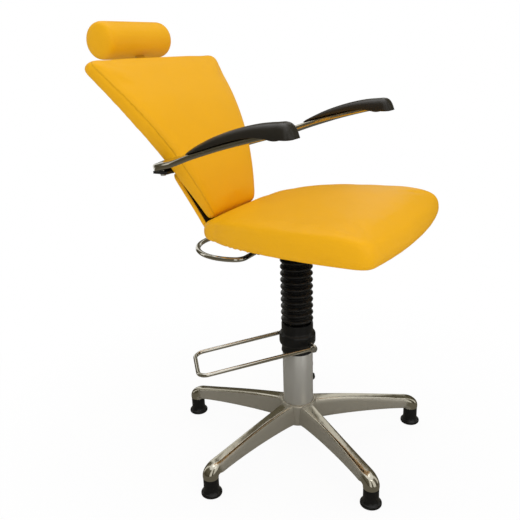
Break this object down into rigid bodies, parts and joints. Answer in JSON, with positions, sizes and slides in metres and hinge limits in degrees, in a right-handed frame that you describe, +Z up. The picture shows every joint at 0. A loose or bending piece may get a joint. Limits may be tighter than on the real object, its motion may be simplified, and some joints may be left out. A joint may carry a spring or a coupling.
{
  "type": "threading chair",
  "caption": "Swivel salon chair with padded seat, reclining back, curved arms, sliding headrest roll, bellows-covered lift column, pump lever loop and star base.",
  "frame": {"origin": "the point on the floor under the column axis", "axes": "+Z up along the column; the seat faces -Y; +X is on the sitter's left"},
  "size_m": [0.6355, 0.7938, 1.05],
  "materials": {
    "polished_aluminium": "polished",
    "black_rubber": "matt",
    "black_plastic": "satin",
    "bearing_plastic": "matt",
    "satin_steel": "satin",
    "chrome_steel": "mirror",
    "black_steel": "semi-gloss",
    "zinc_steel": "satin",
    "yellow_vinyl": "smooth satin vinyl",
    "black_vinyl": "gloss",
    "plywood": "raw"
  },
  "bodies": {
    "base": {"star_base": "polished_aluminium", "glide_feet": "black_rubber", "glide_studs": "zinc_steel", "hub_cap": "black_plastic", "column_tube": "satin_steel", "column_plug": "black_plastic", "pump_cylinder": "satin_steel", "pump_head": "polished_aluminium", "pump_boot": "black_rubber", "bellows": "black_rubber"},
    "foot_pump": {"pump_lever": "chrome_steel", "lever_shaft": "zinc_steel", "lever_nuts": "zinc_steel"},
    "lift": {"piston_rod": "chrome_steel", "bellows_ring": "black_plastic", "thrust_washer": "bearing_plastic"},
    "seat": {"swivel_plate": "black_steel", "seat_rails": "black_steel", "seat_board": "plywood", "seat_cushion": "yellow_vinyl", "seat_screws": "zinc_steel", "hinge_pin": "zinc_steel", "ring_ears": "black_steel", "ring_bushes": "bearing_plastic", "gas_cylinder": "black_steel", "gas_anchor": "black_steel"},
    "release": {"release_ring": "chrome_steel"},
    "spring_rod": {"gas_rod": "chrome_steel"},
    "back": {"back_frame": "black_steel", "gas_pin": "zinc_steel", "back_board": "plywood", "back_cushion": "yellow_vinyl", "back_panel": "yellow_vinyl", "lower_shell": "yellow_vinyl", "back_screws": "zinc_steel", "arm_bar_left": "polished_aluminium", "arm_bar_right": "polished_aluminium", "arm_pad_left": "black_vinyl", "arm_pad_right": "black_vinyl", "arm_bolts": "zinc_steel", "headrest_bracket": "black_steel", "bracket_screws": "zinc_steel"},
    "knob": {"clamp_knob": "black_plastic"},
    "headrest": {"headrest_bar": "chrome_steel", "headrest_core": "plywood", "headrest_roll": "yellow_vinyl"}
  },
  "joints": [
    {"name": "lever_pump", "type": "hinge", "parent": "base", "child": "foot_pump", "pos_m": [0.01543, -0.01838, 0.282], "axis": [-0.766, -0.6428, 0], "range_deg": [0, 20], "stiffness_Nm_per_rad": 6, "springref_deg": -20.05},
    {"name": "lift_slide", "type": "slide", "parent": "base", "child": "lift", "axis": [0, 0, 1], "range_m": [-0.1, 0.02], "deforming": ["bellows"]},
    {"name": "seat_swivel", "type": "hinge", "parent": "lift", "child": "seat", "pos_m": [0, 0, 0.55], "axis": [0, 0, 1], "continuous": true},
    {"name": "ring_lift", "type": "hinge", "parent": "seat", "child": "release", "pos_m": [0, 0.092, 0.508], "axis": [1, 0, 0], "range_deg": [0, 12], "stiffness_Nm_per_rad": 3, "springref_deg": -17.19},
    {"name": "back_recline", "type": "hinge", "parent": "seat", "child": "back", "pos_m": [0, 0.17, 0.552], "axis": [-1, 0, 0], "range_deg": [0, 28]},
    {"name": "gas_slide", "type": "slide", "parent": "seat", "child": "spring_rod", "axis": [0, -1, 0], "range_m": [0, 0.0135]},
    {"name": "knob_turn", "type": "hinge", "parent": "back", "child": "knob", "pos_m": [0, 0.3624, 0.8979], "axis": [0, 0.7705, -0.6374], "continuous": true},
    {"name": "headrest_slide", "type": "slide", "parent": "back", "child": "headrest", "axis": [0, 0.6374, 0.7705], "range_m": [0, 0.07]}
  ],
  "couplings": [
    {"joint": "gas_slide", "follows": "back_recline", "m_per_rad": 0.02673}
  ]
}
